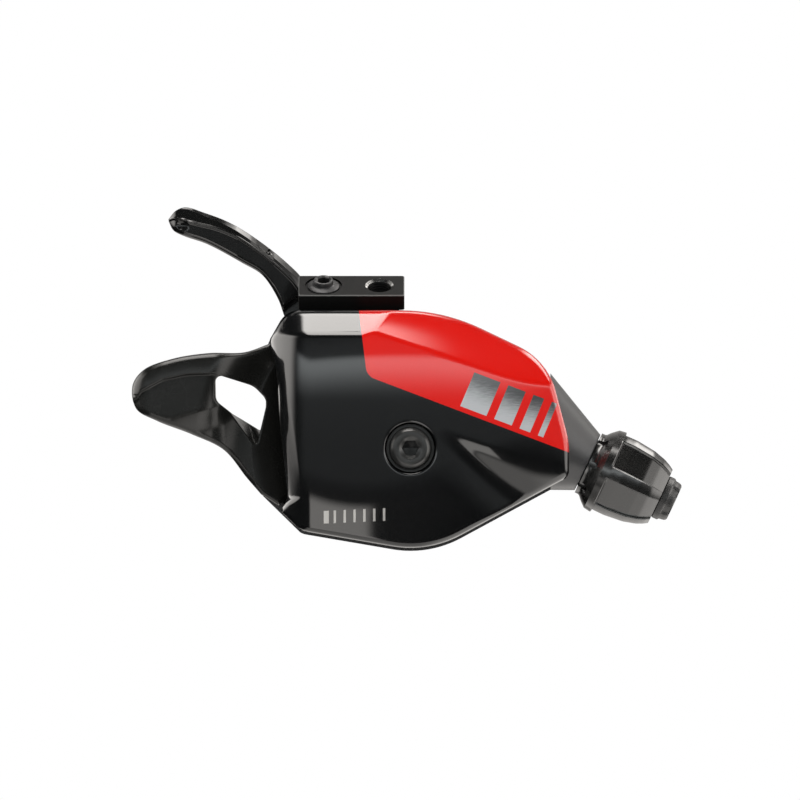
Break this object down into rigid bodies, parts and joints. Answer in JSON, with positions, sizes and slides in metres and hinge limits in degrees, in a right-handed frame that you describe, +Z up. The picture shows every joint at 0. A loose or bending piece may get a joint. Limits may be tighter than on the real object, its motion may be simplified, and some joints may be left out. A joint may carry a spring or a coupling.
{
  "type": "bicycle thumb shifter",
  "caption": "Right-hand bicycle thumb shifter: covered ratchet body with a curved pull lever, a windowed release paddle, a tilted clamp block and a fluted barrel adjuster.",
  "frame": {"origin": "centre of the clamp pad, the top face of the clamp block", "axes": "+X along the handlebar towards the cable outlet, +Y away from the front cover, +Z up"},
  "size_m": [0.0981, 0.0308, 0.0615],
  "materials": {
    "cover_gloss": "gloss black with a red painted corner",
    "base_plastic": "satin dark grey moulded",
    "bolt_steel": "black oxide, turned",
    "plain_steel": "stamped, zinc plated",
    "spring_steel": "spring wire and strip",
    "block_black": "black anodised, light edges",
    "spool_plastic": "moulded, natural",
    "lever_black": "black satin anodised",
    "seat_black": "black moulded",
    "knob_grey": "dark grey satin anodised, fluted",
    "stem_black": "black, threaded"
  },
  "bodies": {
    "housing": {"front_cover": "cover_gloss", "cover_bolt": "bolt_steel", "cover_washer": "bolt_steel", "base_housing": "base_plastic", "bearing_plate": "plain_steel", "plate_screws": "bolt_steel", "pivot_shaft": "plain_steel", "hold_pawl_pin": "plain_steel", "rear_washer": "plain_steel", "retaining_clip": "plain_steel", "rear_cap": "base_plastic", "cap_screw": "bolt_steel", "mount_block": "block_black", "mount_screw": "bolt_steel", "spool_spring": "spring_steel", "hold_pawl_spring": "spring_steel", "release_lever_spring": "spring_steel", "pull_lever_spring": "spring_steel", "adjuster_spring": "spring_steel"},
    "spool": {"cable_spool": "spool_plastic", "drive_ratchet": "plain_steel"},
    "hold_pawl": {"hold_pawl": "plain_steel"},
    "release_lever": {"release_lever": "lever_black", "release_plate": "plain_steel", "release_rivets": "bolt_steel"},
    "pull_lever": {"pull_lever": "lever_black", "pull_lever_hub": "plain_steel", "lever_bolts": "bolt_steel", "drive_pawl_pin": "plain_steel", "drive_pawl_spring": "spring_steel"},
    "drive_pawl": {"drive_pawl": "plain_steel"},
    "cable_stop": {"housing_seat": "seat_black"},
    "adjuster": {"adjuster_knob": "knob_grey", "adjuster_stem": "stem_black"}
  },
  "joints": [
    {"name": "pull_lever_pivot", "type": "hinge", "parent": "housing", "child": "pull_lever", "pos_m": [0.0105, 0, -0.029], "axis": [0, -1, 0], "range_deg": [0, 54], "stiffness_Nm_per_rad": 0.1, "springref_deg": -28.65, "deforming": ["pull_lever_spring"]},
    {"name": "spool_turn", "type": "hinge", "parent": "housing", "child": "spool", "pos_m": [0.0105, 0, -0.029], "axis": [0, -1, 0], "range_deg": [0, 54], "deforming": ["spool_spring"]},
    {"name": "drive_pawl_pivot", "type": "hinge", "parent": "pull_lever", "child": "drive_pawl", "pos_m": [0.00039, 0, -0.0381], "axis": [0, -1, 0], "range_deg": [0, 10], "stiffness_Nm_per_rad": 0.003, "springref_deg": -17.19},
    {"name": "release_lever_pivot", "type": "hinge", "parent": "housing", "child": "release_lever", "pos_m": [0.0105, 0, -0.029], "axis": [0, -1, 0], "range_deg": [0, 10], "stiffness_Nm_per_rad": 0.1, "springref_deg": -28.65, "deforming": ["release_lever_spring"]},
    {"name": "hold_pawl_pivot", "type": "hinge", "parent": "housing", "child": "hold_pawl", "pos_m": [0.0151, 0, -0.01056], "axis": [0, 1, 0], "range_deg": [0, 10], "deforming": ["hold_pawl_spring"]},
    {"name": "adjuster_slide", "type": "slide", "parent": "housing", "child": "cable_stop", "axis": [0.9063, 0, -0.4226], "range_m": [0, 0.0024], "deforming": ["adjuster_spring"]},
    {"name": "adjuster_turn", "type": "hinge", "parent": "cable_stop", "child": "adjuster", "pos_m": [0.04256, -0.002, -0.03181], "axis": [0.9063, 0, -0.4226], "range_deg": [0, 1080]}
  ],
  "couplings": [
    {"joint": "spool_turn", "follows": "pull_lever_pivot", "ratio": 1},
    {"joint": "hold_pawl_pivot", "follows": "release_lever_pivot", "ratio": 1},
    {"joint": "adjuster_turn", "follows": "adjuster_slide", "rad_per_m": 7854}
  ]
}
